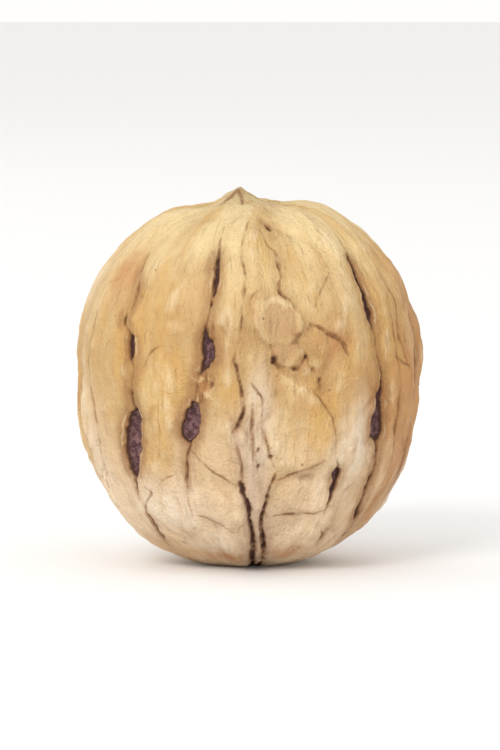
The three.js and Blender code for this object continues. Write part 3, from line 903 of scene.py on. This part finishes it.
# Fine lengthwise checks in the skin of the wood, in broken runs, and pores scattered over it.
bending = noise(half_drawn, per_mm=0.5, detail=3, number=7, output="Color")
bent_grain = {"Vector": vector_maths("ADD", drawn_out, bending), "Scale": 0.45}
net = bench.node("ShaderNodeTexVoronoi", {"feature": "DISTANCE_TO_EDGE"}, bent_grain, "Distance")
checks = net.ramp(0.035, 0.005) * noise(place, per_mm=0.3, detail=2, number=8).ramp(0.5, 0.66)
colour = (checks * 0.28).mix(colour, CREASE_BROWN_AND_SHADE)
scatter = {"Vector": place, "Scale": 0.7}
pore_gap = bench.node("ShaderNodeTexVoronoi", {}, scatter, "Distance")
pore_chance = bench.node("ShaderNodeTexVoronoi", {}, scatter, "Color")
pore_chance = bench.node("ShaderNodeSeparateColor", {}, {"Color": pore_chance}, "Red")
pores = (pore_gap + 0.14 * grit).ramp(0.19, 0.11) * pore_chance.ramp(0.8, 0.9)
colour = (pores * 0.6).mix(colour, PORE_BROWN)

# Slots and cracks: a brown stain beside them, a lip that is pale in places as a painted highlight, then
# the dark floor.
brink = noted("slot_edge") + 0.16 * (fine_fibres - 0.5) + 0.1 * (grit - 0.5)
colour = (noted("halo") * (fibres + 0.1).ramp(0.35, 0.6) * 0.42).mix(colour, VEIN_BROWN)
lip_highlight = brink.ramp(0.06, 0.2) * brink.ramp(0.7, 0.25) * noted("halo").ramp(0.5, 0.9)
pale_runs = noise(place, per_mm=0.35, detail=2, number=16).ramp(0.5, 0.62)
colour = (lip_highlight * pale_runs * 0.32).mix(colour, EDGE_WEAR_AND_HIGHLIGHT)
colour = (noted("crease").ramp(0.72, 1.0) * mottle.ramp(0.35, 0.6) * 0.3).mix(colour, VEIN_BROWN)
line_runs = noise(place, per_mm=0.9, detail=2, number=15).ramp(0.25, 0.52)
colour = (brink.ramp(0.14, -0.07) * line_runs * 0.7).mix(colour, VEIN_BROWN)
floor_clouds = noise(place, per_mm=1.8, detail=4, number=9)
floor_colour = floor_clouds.ramp(0.4, 0.65).mix(SLOT_FLOOR, SLOT_FLOOR_PALE)
opening_colour = noted("slot_depth").ramp(0.45, 1.0).mix(CRACK_BROWN, floor_colour)
opening = brink.ramp(0.08, -0.08) * noted("slot_depth").ramp(0.12, 0.48)
colour = opening.mix(colour, opening_colour)

roughness = 0.6 + 0.18 * mottle + 0.15 * opening - 0.1 * noted("rubbed")
# Heights of the finest relief, in millimetres.
fine_relief = 0.12 * fibres + 0.05 * fine_fibres + 0.3 * grit - 0.08 * pores - 0.03 * checks
fine_relief = fine_relief + 0.7 * noise(half_drawn, per_mm=0.9, detail=3, number=14)
fine_relief = fine_relief + 0.12 * noise(place, per_mm=6, detail=2, number=10)
bump_sockets = {"Height": fine_relief, "Distance": MM, "Strength": 1.0}
bump = bench.node("ShaderNodeBump", {}, bump_sockets, "Normal")
shader_sockets = {"Base Color": colour, "Roughness": roughness, "Normal": bump}
shader_sockets["Specular IOR Level"] = SHEEN
shader = bench.node("ShaderNodeBsdfPrincipled", {}, shader_sockets)
bench.node("ShaderNodeOutputMaterial", {}, {"Surface": shader}, None)
mesh.materials.append(finish)

# ---------------------------------------------------------------------------------------------
# A plain pale floor under the nut. A broad light stands high on the left, a weaker one low on the
# right and a small one behind, and the camera looks from the front and a little from above.
# ---------------------------------------------------------------------------------------------

FLOOR_SIZE = 6.0
FLOOR_DROP = 0.02 * MM  # keeps the floor clear of the nut's own flat
FLOOR_GREY = (0.86, 0.86, 0.86, 1)
DAYLIGHT = (1.0, 0.99, 0.97, 1)

bpy.ops.mesh.primitive_plane_add(size=FLOOR_SIZE, location=(0, 0, -FLOOR_DROP))
floor = bpy.context.object
floor.name = "floor"
floor_paint = bpy.data.materials.new("floor")
floor_paint.use_nodes = True
floor_shader = floor_paint.node_tree.nodes["Principled BSDF"]
floor_shader.inputs["Base Color"].default_value = FLOOR_GREY
floor_shader.inputs["Roughness"].default_value = 0.9
floor.data.materials.append(floor_paint)

world = bpy.data.worlds.new("studio")
world.use_nodes = True
world.node_tree.nodes["Background"].inputs["Color"].default_value = DAYLIGHT
world.node_tree.nodes["Background"].inputs["Strength"].default_value = 1.0
bpy.context.scene.world = world
bpy.context.scene.view_settings.view_transform = "Standard"


def soft_light(name, position, size, watts):
    """A square light that faces the nut."""
    lamp = bpy.data.lights.new(name, "AREA")
    lamp.size = size
    lamp.energy = watts
    light = bpy.data.objects.new(name, lamp)
    light.location = position
    light.rotation_euler = (-Vector(position)).to_track_quat("-Z", "Y").to_euler()
    bpy.context.scene.collection.objects.link(light)


soft_light("window", (-0.5, -0.95, 0.7), 0.5, 7.4)
soft_light("fill", (0.55, -1.05, 0.06), 0.7, 2.9)
soft_light("rim", (-0.8, 0.75, 0.25), 0.4, 1.6)

LENS = 250.0
SENSOR = 36.0
FRAME_HEIGHT, NUT_WIDTH_IN_FRAME = 750, 340
CAMERA_RISE = math.radians(5)

lens = bpy.data.cameras.new("camera")
lens.lens = LENS
lens.sensor_width = SENSOR
lens.clip_end = 20
camera = bpy.data.objects.new("camera", lens)
image_width = SENSOR * NUT_WIDTH_IN_FRAME / FRAME_HEIGHT
distance = LENS * WIDTH * MM / image_width
aim = Vector((0, 0, LENGTH * MM / 2))
camera.location = aim + distance * Vector((0, -math.cos(CAMERA_RISE), math.sin(CAMERA_RISE)))
camera.rotation_euler = (math.pi / 2 - CAMERA_RISE, 0, 0)
bpy.context.scene.collection.objects.link(camera)
bpy.context.scene.camera = camera
